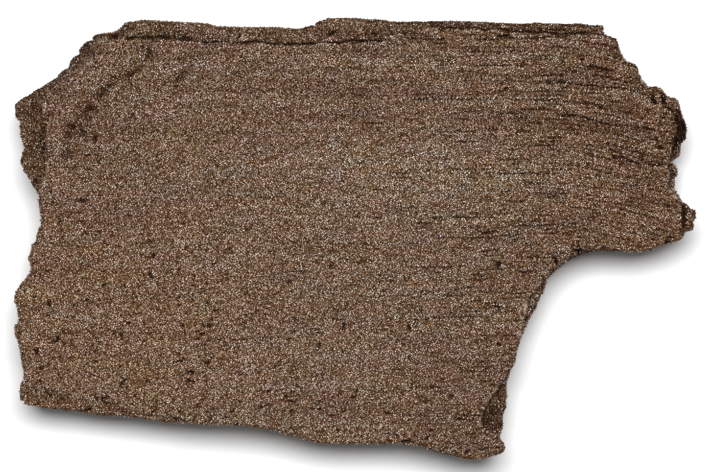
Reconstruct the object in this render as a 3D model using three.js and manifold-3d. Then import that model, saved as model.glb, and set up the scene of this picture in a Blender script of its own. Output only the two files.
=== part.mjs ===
// Druzy petrified wood: one broken slab of fossil wood, crusted all over with tiny quartz points.
// It lies flat with its druse face up, and the grain of the wood runs along X.
// Millimetres, +Z up, origin under the middle of the slab on the surface that it rests on.

import * as THREE from "three";
import Module from "manifold-3d";

const wasm = await Module();
wasm.setup();

// ---------- driving dimensions, millimetres ----------

const FACE_HEIGHT = 27; // druse face above the resting plane
const FACE_SWELL = 0.9; // long swells of the face, up and down
const SWELL_CELL = [44, 26]; // size of a swell, along and across the grain
const GRAIN_RIDGE = 0.4; // ridges along the grain, up and down
const GRAIN_SPACING = 3.6; // across the grain, from one ridge to the next
const GRAIN_LENGTH = 38; // length of a ridge along the grain
const END_START = 48; // x where the face begins to fall toward its right end
const END_FALL = 2.4; // how far it falls
const GRAIN_BEND = 7; // how far the grain lines bend down with it
const TERRACE_DROP = 0.8; // each slanting step at the upper left of the face
const TERRACE_WIDTH = 1.6; // how wide its slope is
const TERRACE_EDGES = [68.6, 73, 77]; // where the steps begin, along the slanting diagonal
const LEDGE_RELIEF = 0.9; // roughness of the split ledges beside the face
const LEDGE_CELL = [5, 2.2]; // size of their splinters, along and across the grain
const LAYER_TOPS = [5, 9.5, 14.5, 20]; // where the split layers in the walls end, from below
const LAYER_INSET = [3.6, 2, 1.1, 0.3, 0.4]; // how far each layer stands in, from below
const LAYER_STEP = 1.6; // how far a layer steps in and out along its run
const LAYER_RUN = 12; // length of such a step
const LAYER_WANDER = 2; // how far a layer's top wanders up and down
const WANDER_RUN = 14; // length of such a wander
const LAYER_GAP = 0.5; // height over which one layer gives way to the next
const SOFTENING = 0.85; // how little the lowest layer follows the outline's notches, out of 1
const RAGGED = 0.45; // raggedness of the outline between its points
const UNDERSIDE_RELIEF = 1.3; // hollows of the underside above the resting plane
const HOLLOW_CELL = [26, 11]; // size of a hollow, along and across the grain
const UNDER_RIDGE = 0.9; // ridges of the underside along the grain, up and down
const UNDER_RIDGE_CELL = [19, 4.4]; // size of such a ridge
const MARGIN_LIFT = 2.2; // how far the underside lifts toward its margin
const RESTING_PATCH = [12, 30]; // radius of the flat patch under the middle, and where it has ended
const PATCH_CUT = 2.5; // how much of the relief the flat patch cuts away
const CELL_ALONG = 5.8; // facets of the face, along the grain
const CELL_ACROSS = 2.7; // and across it
const COARSE_CELL = 8; // facets of the ledges and the underside, along the grain
const WALL_STEP = 4.8; // facets round the walls
const CELL_SHIFT = 0.28; // how far a corner of a facet is shifted, as a share of the facet
const REACH = [92, 62]; // half the length and width of the blocks that are cut to shape
const BLOCK_BELOW = 6; // how far the uncut blocks reach below the resting plane
const BLOCK_ABOVE = 9; // and above the face
const CRACK_STEP = 4.5; // between the stations of a crack's cutter
const CRACK_ABOVE = 1.5; // how far the cutter stands out of the face
const CRACK_END = 0.3; // size of a crack at its ends, against its middle

// The outline seen from above, clockwise from the pointed upper-left corner.
const topEdge = [
  [-85.8, 32.7], [-81.2, 35.7], [-76.2, 38.9], [-73.9, 41.2], [-71.4, 42.4], [-70.5, 45.3],
  [-67.9, 48.4], [-65.4, 50.3], [-62.8, 51.3], [-59.5, 51.7], [-57.2, 54.1], [-52.5, 54.4],
  [-43.8, 53.8], [-36.5, 53.3], [-28.8, 52.6], [-14.2, 52.4], [-10.2, 53.6], [-7.2, 55.9],
  [-2.5, 55.6], [7.5, 54.4], [26.2, 54.2], [41.2, 53.8], [62, 53.1],
];
const rightEnd = [
  [62.2, 50.8], [65.4, 49.8], [66.4, 46.1], [69.8, 43.6], [70.6, 41.2], [73.2, 37.6],
  [76.5, 37.3], [78, 35.3], [80.5, 34.9], [81.9, 30.8], [82.8, 28.1], [82.8, 25.1],
  [81.5, 23.3], [81.5, 21.1], [79, 19.2], [81, 17], [79.4, 14.7], [79.9, 12.6],
  [81.8, 9.3], [84, 7.4], [85.9, 6], [84.5, 2.8], [82.9, 2.4], [80.5, 0.1],
];
const brokenCorner = [
  [77, -0.9], [72.5, -2.9], [65.8, -3.1], [59.5, -2.6], [54.5, -3.9], [50.2, -7.2],
  [48.2, -9.4], [47, -13.4], [44.5, -17.7], [42, -22.9], [40.1, -28.7], [37.7, -35.4],
  [38, -39.7], [37.9, -42.9], [36.9, -47.2], [35.8, -49.4], [37.2, -52.1], [36, -53.7],
  [33.2, -54.9], [29.5, -55.8],
];
const bottomEdge = [
  [26.2, -54.8], [20.2, -53.2], [16.5, -51.7], [8.8, -51.1], [-5, -51.4], [-11.8, -50.4],
  [-16.8, -48.9], [-26.2, -47.1], [-33.8, -46.4], [-43.8, -45.9], [-52.2, -45.3],
  [-62.5, -44.4], [-70.8, -42.6], [-81, -41.4],
];
const leftEnd = [
  [-83.8, -38.4], [-83, -34.9], [-83.2, -30.9], [-84.1, -25.9], [-85.4, -23.2], [-84, -20.2],
  [-85.4, -14.9], [-83.5, -11.6], [-81.2, -8.9], [-81.6, -5.4], [-79.5, -0.9], [-78.5, 3.2],
  [-78.9, 10.8], [-81.4, 14.8], [-83.6, 19.3], [-83, 22.6], [-84.1, 29.4],
];
const outline = [...topEdge, ...rightEnd, ...brokenCorner, ...bottomEdge, ...leftEnd];

// The rim of the face, clockwise: along the left ledge, the slanting wall, the strips behind the
// long crack, the broken right end, the bevel of the broken corner and the ledge at the lower
// right. Elsewhere it runs outside the outline.
const leftRim = [[-79.8, 10.6], [-77, 12.6], [-76.5, 22.1], [-77.8, 34.6]];
const slantingRim = [[-73.8, 38.6], [-70, 41.3], [-66.2, 43.8], [-64.5, 46.6], [-62.8, 48.8]];
const crackRim = [[-59.2, 49.8], [-48.8, 49.8], [-38.8, 49], [-13.8, 48.8], [7.5, 49.1]];
const thinStripRim = [[11.2, 51], [23.8, 51.8], [36.2, 51.4], [62.2, 50.8]];
const rightRim = [[80.6, 27.4], [79.2, 21.5], [78, 19.8], [78.8, 13], [82, 9.4], [82.5, 5.5], [82.2, 1.8]];
const cornerRim = [[51.6, -4.4], [49.4, -6.8], [46.2, -12.6], [42.9, -18.6], [41.8, -22]];
const lowerRightRim = [[36.9, -35.8], [33.8, -39.8], [32.4, -45.2], [31.8, -48.2], [33.8, -49.9]];
const faceOutline = [
  ...leftRim, ...slantingRim, ...crackRim, ...thinStripRim, [90, 50], [90, 28],
  ...rightRim, [84, -2], [56, -8], ...cornerRim, [42, -26], [60, -30],
  ...lowerRightRim, [50, -50], [50, -61], [-91, -61], [-91, 8],
];

// Heights of the ledges beside the face at a few spots: x, y, height. Between them they blend.
const ledgeSpots = [
  [-84, 22, 23.2], [-80, 24, 23.6], [-77, 30, 23.6], [-84, 32, 22.6], [-76, 39, 19.5], [-70, 44, 19.5],
  [-65, 50, 19.5], [-52, 52, 24.8], [-38, 51, 25], [-14, 51, 25.4], [0, 52, 25.2], [8, 52, 24.8],
  [24, 53.4, 24], [44, 53, 23.8], [60, 52.5, 24.2], [83, 26, 20.5], [80.5, 17, 17.5], [81, 12.5, 15.5],
  [84, 5, 22.6], [49, -11, 22.4], [45, -20, 22], [38, -38, 21.4], [36, -45, 21], [34, -52, 23],
];

// Cracks: their run, their width at the surface and their depth.
const cracks = [
  { run: [[-59.2, 49.8], [-48.8, 49.9], [-37.5, 48.9], [-30, 49.2]], wide: 1.1, deep: 2.6 },
  { run: [[-36, 49], [-18.8, 48.8], [-2.5, 49.2], [10, 49.1]], wide: 1.4, deep: 4.5 },
  { run: [[12, 50.8], [15, 49.9], [20.4, 50.2]], wide: 1.5, deep: 2.6 },
  { run: [[35.6, 50.4], [46.2, 49.9], [57, 50.9]], wide: 0.8, deep: 2 },
  { run: [[9.6, 44.3], [13, 43.7], [26.4, 43.4]], wide: 0.7, deep: 1.4 },
  { run: [[33, 38.8], [51.2, 38.6], [73.6, 36.8]], wide: 0.7, deep: 1.6 },
  { run: [[56.3, 46], [58.3, 42.8], [64.6, 42.6]], wide: 0.9, deep: 1.8 },
  { run: [[52.2, 31], [63, 29], [75.2, 26.8]], wide: 0.8, deep: 1.8 },
  { run: [[64.4, 22], [65, 20.2], [78, 18.3]], wide: 0.9, deep: 2 },
  { run: [[45, 13.2], [61, 12.8], [77, 12.2]], wide: 0.7, deep: 1.4 },
  { run: [[30.4, 4.4], [31.4, 1.8], [36.4, 1.4]], wide: 1.2, deep: 2 },
  { run: [[73.6, 36.8], [75.6, 33.6], [79.6, 29.8], [80.5, 27]], wide: 1.2, deep: 3 },
  { run: [[82, 9.2], [82.5, 5.5], [82.2, 1.8]], wide: 1, deep: 3 },
  { run: [[50.6, -4.6], [46, -13], [42, -21.4]], wide: 1.4, deep: 4 },
  { run: [[33.8, -41.6], [33, -44], [32.2, -47.6]], wide: 1.6, deep: 3 },
  { run: [[-82, -36.8], [-78, -37.6], [-71, -38.4]], wide: 2, deep: 1.8 },
  { run: [[-68.8, -41], [-61.2, -42.2], [-44, -43.9]], wide: 0.8, deep: 1.4 },
];

// Small pits in the face: x, y and radius.
const pits = [
  [-76.8, -8.2, 0.8], [-73.8, 4.3, 0.7], [-64.2, 1.6, 0.8], [-62.8, -11.7, 0.9], [-50.5, -4.2, 0.7],
  [-43, -21.9, 0.9], [-41.2, -33.4, 0.8], [-37, -16.2, 0.8], [-23.5, -42.2, 0.9], [-8.8, -42.9, 0.7],
  [0.5, -38.2, 0.8], [62.4, 40.4, 0.9], [77, 23.2, 1], [-56, 42, 0.8], [33, -28, 0.7], [12, -30, 0.7],
];

// Lumps on the ledges and at the broken right end: x, y and radius.
const ledgeLumps = [
  [-80.5, 33.6, 2.6], [-75.4, 37.4, 2.2], [-71.4, 41.8, 2.3], [-67.6, 45.8, 2.2], [-65, 49, 1.9],
  [-81, 24.4, 2.4], [-81, 18, 2.3], [80, 17.2, 2], [83.4, 5.6, 2], [35.6, -51.2, 2.6], [36, -41, 2],
];
const endLumps = [[76, 36, 2.2], [78.4, 33.6, 2]];

// The middle lines of the slab's two lobes. The walls lean toward them.
const lobes = [[[-60, 0], [45, 25]], [[-60, 0], [25, -35]]];

// ---------- noise ----------

const HASH = [127.1, 311.7, 74.7, 43758.5453];

// A repeatable value from -1 to 1 for each corner of a lattice.
function corner(i, j, seed) {
  const mixed = Math.sin(i * HASH[0] + j * HASH[1] + seed * HASH[2]) * HASH[3];
  return (mixed - Math.floor(mixed)) * 2 - 1;
}

// Smooth noise from -1 to 1: the four corners of a unit cell, eased from one to the next.
function noise(x, y, seed) {
  const i = Math.floor(x);
  const j = Math.floor(y);
  const u = THREE.MathUtils.smoothstep(x - i, 0, 1);
  const v = THREE.MathUtils.smoothstep(y - j, 0, 1);
  const low = THREE.MathUtils.lerp(corner(i, j, seed), corner(i + 1, j, seed), u);
  const high = THREE.MathUtils.lerp(corner(i, j + 1, seed), corner(i + 1, j + 1, seed), u);
  return THREE.MathUtils.lerp(low, high, v);
}

// ---------- solids ----------

// A closed mesh of shared vertices, made a solid.
function solidOf(points, faces) {
  const vertProperties = new Float32Array(points.flat());
  const triVerts = new Uint32Array(faces.flat());
  return new wasm.Manifold(new wasm.Mesh({ numProp: 3, vertProperties, triVerts }));
}

// A prism between two or more rings of as many points, closed by flat caps. The outermost ring is
// the top one, and the rings run counter-clockwise seen from above.
function prismOf(rings) {
  const count = rings[0].length;
  const faces = [];
  for (let level = 0; level + 1 < rings.length; level += 1) {
    for (let k = 0; k < count; k += 1) {
      const low = level * count + k;
      const next = level * count + (k + 1) % count;
      faces.push([low, next, next + count], [low, next + count, low + count]);
    }
  }
  const last = (rings.length - 1) * count;
  const flat = (ring) => ring.map(([x, y]) => new THREE.Vector2(x, y));
  for (const [a, b, c] of THREE.ShapeUtils.triangulateShape(flat(rings[0]), [])) {
    faces.push([a, c, b]);
  }
  for (const [a, b, c] of THREE.ShapeUtils.triangulateShape(flat(rings.at(-1)), [])) {
    faces.push([last + a, last + b, last + c]);
  }
  return solidOf(rings.flat(), faces);
}

// A block whose top and bottom are grids of facets, at heights given by two functions. The inner
// corners of the grid are shifted a little, so the facets aren't all alike.
function gridBlock(cellX, cellY, topHeight, bottomHeight) {
  const columns = Math.ceil((2 * REACH[0]) / cellX) + 1;
  const rows = Math.ceil((2 * REACH[1]) / cellY) + 1;
  const points = [];
  const faces = [];
  for (const height of [bottomHeight, topHeight]) {
    for (let row = 0; row < rows; row += 1) {
      for (let column = 0; column < columns; column += 1) {
        const inner = row > 0 && column > 0 && row < rows - 1 && column < columns - 1;
        const move = inner ? CELL_SHIFT : 0;
        const x = -REACH[0] + (column + move * corner(column, row, 31)) * cellX;
        const y = -REACH[1] + (row + move * corner(column, row, 32)) * cellY;
        points.push([x, y, height(x, y)]);
      }
    }
  }
  const at = (side, row, column) => (side * rows + row) * columns + column;
  for (let row = 0; row + 1 < rows; row += 1) {
    for (let column = 0; column + 1 < columns; column += 1) {
      const quad = [[row, column], [row, column + 1], [row + 1, column + 1], [row + 1, column]];
      const low = quad.map(([r, c]) => at(0, r, c));
      const high = quad.map(([r, c]) => at(1, r, c));
      faces.push([low[0], low[2], low[1]], [low[0], low[3], low[2]]);
      faces.push([high[0], high[1], high[2]], [high[0], high[2], high[3]]);
    }
  }
  const side = (row, column, nextRow, nextColumn) => {
    const low = at(0, row, column);
    const next = at(0, nextRow, nextColumn);
    faces.push([low, next, next + rows * columns], [low, next + rows * columns, low + rows * columns]);
  };
  for (let column = 0; column + 1 < columns; column += 1) {
    side(0, column, 0, column + 1);
    side(rows - 1, column + 1, rows - 1, column);
  }
  for (let row = 0; row + 1 < rows; row += 1) {
    side(row, columns - 1, row + 1, columns - 1);
    side(row + 1, 0, row, 0);
  }
  return solidOf(points, faces);
}

// ---------- heights ----------

// The druse face: long swells, ridges along the grain, a fall toward the right end where the grain
// lines bend down with it, and slanting terraces at the upper left.
function faceHeight(x, y) {
  const fall = THREE.MathUtils.smoothstep(x, END_START, REACH[0]);
  const across = y + GRAIN_BEND * fall;
  const swell = FACE_SWELL * noise(x / SWELL_CELL[0], y / SWELL_CELL[1], 1);
  const ridges = GRAIN_RIDGE * noise(x / GRAIN_LENGTH, across / GRAIN_SPACING, 2);
  const slant = (y - x) * Math.SQRT1_2;
  let terraces = 0;
  for (const edge of TERRACE_EDGES) {
    terraces += TERRACE_DROP * THREE.MathUtils.smoothstep(slant, edge, edge + TERRACE_WIDTH);
  }
  return FACE_HEIGHT + swell + ridges - END_FALL * fall - terraces;
}

// The ledges: the spots' heights, each counted the more the nearer it is, with split layers on top.
function ledgeHeight(x, y) {
  let sum = 0;
  let weights = 0;
  for (const [spotX, spotY, height] of ledgeSpots) {
    const weight = 1 / (1 + (x - spotX) ** 2 + (y - spotY) ** 2) ** 2;
    sum += weight * height;
    weights += weight;
  }
  return sum / weights + LEDGE_RELIEF * noise(x / LEDGE_CELL[0], y / LEDGE_CELL[1], 3);
}

// The underside: hollows and ridges along the grain, cut off flat where the slab rests, round a
// flat patch under the middle and inside a lifted margin.
function undersideHeight(x, y) {
  const margin = THREE.MathUtils.smoothstep(Math.hypot(x / REACH[0], y / REACH[1]), 0.7, 1.02);
  const hollows = UNDERSIDE_RELIEF * noise(x / HOLLOW_CELL[0], y / HOLLOW_CELL[1], 4);
  const ridges = UNDER_RIDGE * noise(x / UNDER_RIDGE_CELL[0], y / UNDER_RIDGE_CELL[1], 12);
  const patch = 1 - THREE.MathUtils.smoothstep(Math.hypot(x, y), ...RESTING_PATCH);
  return Math.max(0, hollows + ridges + MARGIN_LIFT * margin - PATCH_CUT * patch);
}

// ---------- walls ----------

// The way from an outline point to the middle of the slab, as a unit vector.
function inward(x, y) {
  const pull = new THREE.Vector2();
  for (const [[ax, ay], [bx, by]] of lobes) {
    const span = new THREE.Vector2(bx - ax, by - ay);
    const along = new THREE.Vector2(x - ax, y - ay).dot(span) / span.lengthSq();
    const share = THREE.MathUtils.clamp(along, 0, 1);
    const toward = new THREE.Vector2(ax + share * span.x - x, ay + share * span.y - y);
    pull.addScaledVector(toward, 1 / toward.lengthSq() ** 2);
  }
  return pull.normalize();
}

// How far a layer of the wall stands in from the outline, at a place along it.
function layerInset(along, layer) {
  return Math.max(0, LAYER_INSET[layer] + LAYER_STEP * noise(along / LAYER_RUN, 3 * layer, 7));
}

// The outline with points added at most a wall step apart, each shifted in or out by a little.
function raggedOutline() {
  const ragged = [];
  let along = 0;
  outline.forEach(([x, y], k) => {
    const [nextX, nextY] = outline[(k + 1) % outline.length];
    const length = Math.hypot(nextX - x, nextY - y);
    const parts = Math.ceil(length / WALL_STEP);
    for (let part = 0; part < parts; part += 1) {
      const share = part / parts;
      const shift = part === 0 ? 0 : RAGGED * noise(along + share * length, 0, 8);
      const px = x + share * (nextX - x) + (shift * (nextY - y)) / length;
      const py = y + share * (nextY - y) - (shift * (nextX - x)) / length;
      ragged.push({ x: px, y: py, along: along + share * length });
    }
    along += length;
  });
  return ragged.reverse();
}

// The walls, as a prism of split layers. Each stands in or out a little from the next, and the
// lower they lie, the less they follow the small notches of the outline.
function wallPrism() {
  const rim = raggedOutline();
  const near = [-3, -2, -1, 0, 1, 2, 3];
  const softened = rim.map((point, k) => {
    const sum = new THREE.Vector2();
    near.forEach((step) => sum.add(rim.at((k + step) % rim.length)));
    return sum.divideScalar(near.length);
  });
  const top = LAYER_TOPS.length;
  const ringOf = (layer, level, wander, seed) => rim.map(({ x, y, along }, k) => {
    const spot = new THREE.Vector2(x, y).lerp(softened[k], SOFTENING * (1 - layer / top));
    spot.addScaledVector(inward(x, y), layerInset(along, layer));
    return [spot.x, spot.y, level + wander * noise(along / WANDER_RUN, 5 * seed, 9)];
  });
  const rings = [ringOf(0, -BLOCK_BELOW, 0, 0)];
  LAYER_TOPS.forEach((level, layer) => {
    rings.push(ringOf(layer, level, LAYER_WANDER, layer));
    rings.push(ringOf(layer + 1, level + LAYER_GAP, LAYER_WANDER, layer));
  });
  rings.push(ringOf(top, FACE_HEIGHT + BLOCK_ABOVE, 0, 0));
  return prismOf(rings);
}

// ---------- cracks, pits and lumps ----------

// A V-shaped cutter along a crack, which is narrow and shallow at both ends.
function crackCutter({ run, wide, deep }) {
  const stations = [];
  run.forEach(([x, y], k) => {
    if (k === 0) {
      stations.push([x, y]);
      return;
    }
    const [fromX, fromY] = run[k - 1];
    const parts = Math.ceil(Math.hypot(x - fromX, y - fromY) / CRACK_STEP);
    for (let part = 1; part <= parts; part += 1) {
      stations.push([fromX + ((x - fromX) * part) / parts, fromY + ((y - fromY) * part) / parts]);
    }
  });
  const last = stations.length - 1;
  const points = [];
  const faces = [[0, 1, 2], [3 * last, 3 * last + 2, 3 * last + 1]];
  stations.forEach(([x, y], k) => {
    const before = stations[Math.max(k - 1, 0)];
    const after = stations[Math.min(k + 1, last)];
    const way = new THREE.Vector2(after[0] - before[0], after[1] - before[1]).normalize();
    const size = k === 0 || k === last ? CRACK_END : 1 + 0.35 * noise(x / 6, y / 6, 10);
    const half = 0.5 * wide * size * (1 + CRACK_ABOVE / deep);
    const surface = faceHeight(x, y);
    points.push([x - way.y * half, y + way.x * half, surface + CRACK_ABOVE]);
    points.push([x, y, surface - deep * size]);
    points.push([x + way.y * half, y - way.x * half, surface + CRACK_ABOVE]);
  });
  for (let k = 0; k < last; k += 1) {
    for (let side = 0; side < 3; side += 1) {
      const a = 3 * k + side;
      const b = 3 * k + (side + 1) % 3;
      faces.push([a, a + 3, b + 3], [a, b + 3, b]);
    }
  }
  return solidOf(points, faces);
}

// A rough little stone, flatter than it is wide, whose corners are shifted in and out.
function pebble(x, y, z, radius, flatness, seed) {
  const shape = new THREE.IcosahedronGeometry(1, 0).getAttribute("position");
  const corners = new Map();
  const points = [];
  const faces = [];
  for (let k = 0; k < shape.count; k += 1) {
    const spot = new THREE.Vector3().fromBufferAttribute(shape, k);
    const key = spot.toArray().map((value) => value.toFixed(3)).join();
    if (!corners.has(key)) {
      corners.set(key, points.length);
      spot.multiplyScalar(radius * (1 + 0.22 * corner(points.length, seed, 11)));
      points.push([x + spot.x, y + spot.y, z + flatness * spot.z]);
    }
    if (k % 3 === 0) {
      faces.push([]);
    }
    faces.at(-1).push(corners.get(key));
  }
  return solidOf(points, faces);
}

// ---------- the slab ----------

function slabGeometry() {
  const floor = () => -BLOCK_BELOW;
  const ceiling = () => FACE_HEIGHT + BLOCK_ABOVE;
  const faceRing = (height) => faceOutline.map(([x, y]) => [x, y, height]).reverse();
  const face = gridBlock(CELL_ALONG, CELL_ACROSS, faceHeight, floor)
    .intersect(prismOf([faceRing(0), faceRing(ceiling())]));
  const ledges = gridBlock(COARSE_CELL, CELL_ACROSS, ledgeHeight, floor);
  const underside = gridBlock(COARSE_CELL, COARSE_CELL / 2, ceiling, undersideHeight);
  let slab = ledges.add(face);
  ledgeLumps.forEach(([x, y, radius], k) => {
    slab = slab.add(pebble(x, y, ledgeHeight(x, y), radius, 0.8, k));
  });
  endLumps.forEach(([x, y, radius], k) => {
    slab = slab.add(pebble(x, y, faceHeight(x, y) - 0.4 * radius, radius, 0.8, k));
  });
  slab = slab.intersect(wallPrism()).intersect(underside);
  for (const crack of cracks) {
    slab = slab.subtract(crackCutter(crack));
  }
  pits.forEach(([x, y, radius], k) => {
    slab = slab.subtract(pebble(x, y, faceHeight(x, y), radius, 1.2, k));
  });
  const { vertProperties, triVerts } = slab.getMesh();
  const geometry = new THREE.BufferGeometry();
  geometry.setAttribute("position", new THREE.BufferAttribute(vertProperties, 3));
  geometry.setIndex(new THREE.BufferAttribute(triVerts, 1));
  geometry.computeBoundingBox();
  const { min, max } = geometry.boundingBox;
  return geometry.translate(-(min.x + max.x) / 2, -(min.y + max.y) / 2, -min.z);
}

const crustedStone = new THREE.MeshStandardMaterial({ color: 0x6e5949, roughness: 0.55, metalness: 0 });
const petrifiedWood = new THREE.Mesh(slabGeometry(), crustedStone);
petrifiedWood.name = "petrified_wood";

const specimen = new THREE.Group();
specimen.add(petrifiedWood);

export default specimen;
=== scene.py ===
"""Druzy petrified wood: a broken slab of fossil wood under a crust of tiny quartz points.

Lengths are in millimetres and become metres where a mesh is made. +X runs along the grain."""
import math

import bpy
import numpy as np
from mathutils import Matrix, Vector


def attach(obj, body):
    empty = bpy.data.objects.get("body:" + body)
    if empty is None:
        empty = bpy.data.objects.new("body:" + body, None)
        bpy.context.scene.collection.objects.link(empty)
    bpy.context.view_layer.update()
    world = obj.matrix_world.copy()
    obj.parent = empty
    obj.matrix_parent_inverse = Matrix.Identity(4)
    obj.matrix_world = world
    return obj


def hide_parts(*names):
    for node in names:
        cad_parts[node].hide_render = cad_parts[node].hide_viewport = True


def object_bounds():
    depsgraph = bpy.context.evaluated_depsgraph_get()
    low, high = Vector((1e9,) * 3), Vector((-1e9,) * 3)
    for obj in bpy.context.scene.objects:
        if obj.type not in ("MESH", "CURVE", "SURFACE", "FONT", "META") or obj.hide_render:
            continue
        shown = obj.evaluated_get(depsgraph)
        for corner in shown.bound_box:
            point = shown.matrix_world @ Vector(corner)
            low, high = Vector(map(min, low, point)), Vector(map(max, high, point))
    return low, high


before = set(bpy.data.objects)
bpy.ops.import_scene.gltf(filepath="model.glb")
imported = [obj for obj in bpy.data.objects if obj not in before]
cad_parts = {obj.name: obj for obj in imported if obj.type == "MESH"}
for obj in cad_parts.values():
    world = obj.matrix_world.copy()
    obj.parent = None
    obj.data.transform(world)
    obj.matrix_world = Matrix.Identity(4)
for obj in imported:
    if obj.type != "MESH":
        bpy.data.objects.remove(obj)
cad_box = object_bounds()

# ---------------------------------------------------------------------------------------------
# The slab. Fossil wood, split along its grain and broken across it: a nearly flat face with
# cracks and pits, lower ledges beside it, walls of split layers and a rough underside that is
# flat where it rests. It is one stone, so it is one closed mesh in place of the solid.
# ---------------------------------------------------------------------------------------------
millimetre = 0.001

# The outline seen from above, clockwise from the pointed upper-left corner.
top_edge = [
    (-85.3, 32.9), (-84.2, 34.4), (-83.1, 35.1), (-81.5, 36.1), (-80.3, 37.2), (-78.5, 38.1),
    (-76.6, 39.4), (-75.2, 40.1), (-74.4, 41.6), (-73, 42.5), (-72.1, 42.9), (-71.7, 44.5),
    (-71.1, 45.7), (-70, 46.2), (-69.5, 47.5), (-68.3, 48.8), (-67.1, 49.5), (-66.1, 49.8),
    (-65.7, 50.7), (-64.4, 51.4), (-62.8, 51.5), (-61, 51.2), (-59.5, 51.7), (-58.9, 52.3),
    (-58.4, 53.3), (-57.2, 54.1), (-55.2, 54.3), (-52.5, 54.4), (-48.8, 54.1), (-43.8, 53.8),
    (-38.8, 53.6), (-36.5, 53.3), (-35, 52.8), (-28.8, 52.6), (-18.8, 52.5), (-14.2, 52.4),
    (-12.2, 52.8), (-10.2, 53.6), (-8.8, 54.4), (-7.2, 55.2), (-2.5, 55.2), (1.2, 54.8), (7.5, 54.4),
    (11.2, 54.2), (16.2, 54.3), (26.2, 54.2), (32.8, 54.1), (36.2, 53.8), (41.2, 53.8), (46.2, 53.9),
    (51.2, 53.9), (56.2, 53.7), (62, 53.1),
]
right_end = [
    (62.2, 50.8), (63.8, 50.4), (65.4, 49.8), (65.8, 48.3), (66.1, 47.1), (66.4, 46.1), (67.2, 44.7),
    (68.2, 43.9), (69.8, 43.6), (70.4, 42.8), (70.9, 41.7), (70.6, 41.2), (71.4, 40.3), (71.2, 39.6),
    (71.9, 39.1), (72.5, 38.1), (73.2, 37.6), (74, 37.6), (75.2, 37.9), (76.5, 37.3), (77.4, 36.3),
    (78, 35.3), (79, 35.2), (80.5, 34.9), (80.9, 33.8), (81.4, 32.3), (81.9, 30.8), (82.1, 29.7),
    (82.6, 29.4), (82.8, 28.1), (82.9, 26.3), (82.8, 25.1), (82, 24.1), (81.5, 23.3), (81.4, 22.1),
    (81.5, 21.1), (80.9, 20.4), (79.8, 19.9), (79, 19.6), (78.5, 19.2), (79, 18.8), (80, 18.6),
    (80.8, 17.8), (81, 16.8), (81, 15.8), (80, 15.6), (79.5, 15.2), (79.4, 14.7), (80.1, 14.2),
    (79.4, 13.8), (79.9, 13.1), (79.6, 12.6), (80.1, 11.8), (81, 10.6), (81.8, 9.3), (82, 8.7),
    (83.2, 8.3), (84, 7.4), (84.8, 7.1), (85.4, 6.1), (85.3, 5.1), (84.9, 3.9), (84.8, 2.5),
    (84.3, 1.7), (83.2, 1.9), (82.5, 1.2), (81.8, 0.2),
]
broken_corner = [
    (80.7, -0.4), (79, -1.2), (77.2, -1.5), (75.7, -2.1), (74, -2.8), (72.6, -3.2), (70.8, -3.1),
    (68.2, -3.2), (65.8, -3.1), (63.2, -2.8), (61.2, -2.6), (59.5, -2.6), (58.2, -3.2), (55.8, -3.6),
    (54.5, -3.9), (53.2, -4.9), (51.8, -5.9), (50.2, -7.2), (49, -8.3), (48.2, -9.4), (47.8, -10.7),
    (47.2, -12.2), (47, -13.4), (46.2, -14.7), (45.8, -16.1), (45.1, -18), (44.3, -19.7),
    (43.4, -21.5), (42.3, -23), (41.2, -24.9), (40.6, -26.9), (40.1, -28.7), (39.8, -30.7),
    (39, -32.7), (38.2, -34.2), (37.7, -35.4), (37.5, -37.4), (37.6, -38.9), (38, -39.7),
    (37.6, -40.7), (38, -41.7), (37.9, -42.9), (37.1, -43.7), (37, -45.4), (36.9, -47.2),
    (36.5, -48.4), (35.8, -49.4), (36.1, -50.4), (36.9, -51.2), (37.2, -52.1), (36.9, -53.1),
    (36, -53.7), (34.8, -54.3), (33.2, -54.9), (30.8, -55.3),
]
bottom_edge = [
    (28.2, -55.3), (26.2, -54.8), (24.5, -54.1), (22.5, -53.7), (20.2, -53.2), (18.2, -52.4),
    (16.5, -51.7), (13.8, -51.4), (11.2, -51.2), (8.8, -51.1), (5, -51.3), (0, -51.4), (-5, -51.4),
    (-8.8, -51.1), (-11.8, -50.4), (-14.2, -49.7), (-16.8, -48.9), (-19.2, -48.3), (-22.8, -47.7),
    (-26.2, -47.1), (-29.8, -46.6), (-33.8, -46.4), (-36.2, -46.6), (-38.8, -46.2), (-43.8, -45.9),
    (-48.8, -45.8), (-52.2, -45.3), (-57.5, -44.7), (-62.5, -44.4), (-65.8, -43.8), (-68.2, -43.5),
    (-70.8, -43), (-75, -42.7), (-78.2, -42.4), (-81.2, -42),
]
left_end = [
    (-83, -41.4), (-83.9, -40.1), (-83.8, -38.4), (-83.9, -37.2), (-83.5, -36.2), (-83, -34.9),
    (-83, -32.9), (-83.2, -30.9), (-83.4, -28.9), (-83.8, -27.2), (-84.1, -25.9), (-84.6, -24.7),
    (-85.1, -23.2), (-85, -21.9), (-84.2, -21.4), (-84, -20.2), (-84.4, -18.4), (-84.6, -16.9),
    (-85, -16.4), (-85.1, -14.9), (-85, -13.7), (-84.2, -12.7), (-83.5, -11.6), (-82.5, -10.8),
    (-82, -9.4), (-81.2, -8.9), (-80.8, -7.4), (-81, -6.2), (-81.6, -5.4), (-81.2, -4.2),
    (-80.8, -2.9), (-80.5, -1.4), (-79.5, -0.9), (-79.6, 0.8), (-79.2, 2.1), (-78.5, 3.2),
    (-78.5, 5.1), (-78.6, 7.1), (-79, 8.8), (-78.9, 10.8), (-79.8, 12.1), (-80.8, 13.3), (-81.4, 14.8),
    (-82.2, 15.6), (-83, 17.1), (-83.6, 19.3), (-83.4, 20.8), (-83, 22.6), (-83.1, 24.1),
    (-83.8, 25.6), (-84, 27.6), (-84.1, 29.4), (-84.9, 30.1), (-84.9, 31.3),
]
outline = np.array(top_edge + right_end + broken_corner + bottom_edge + left_end, float)

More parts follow.
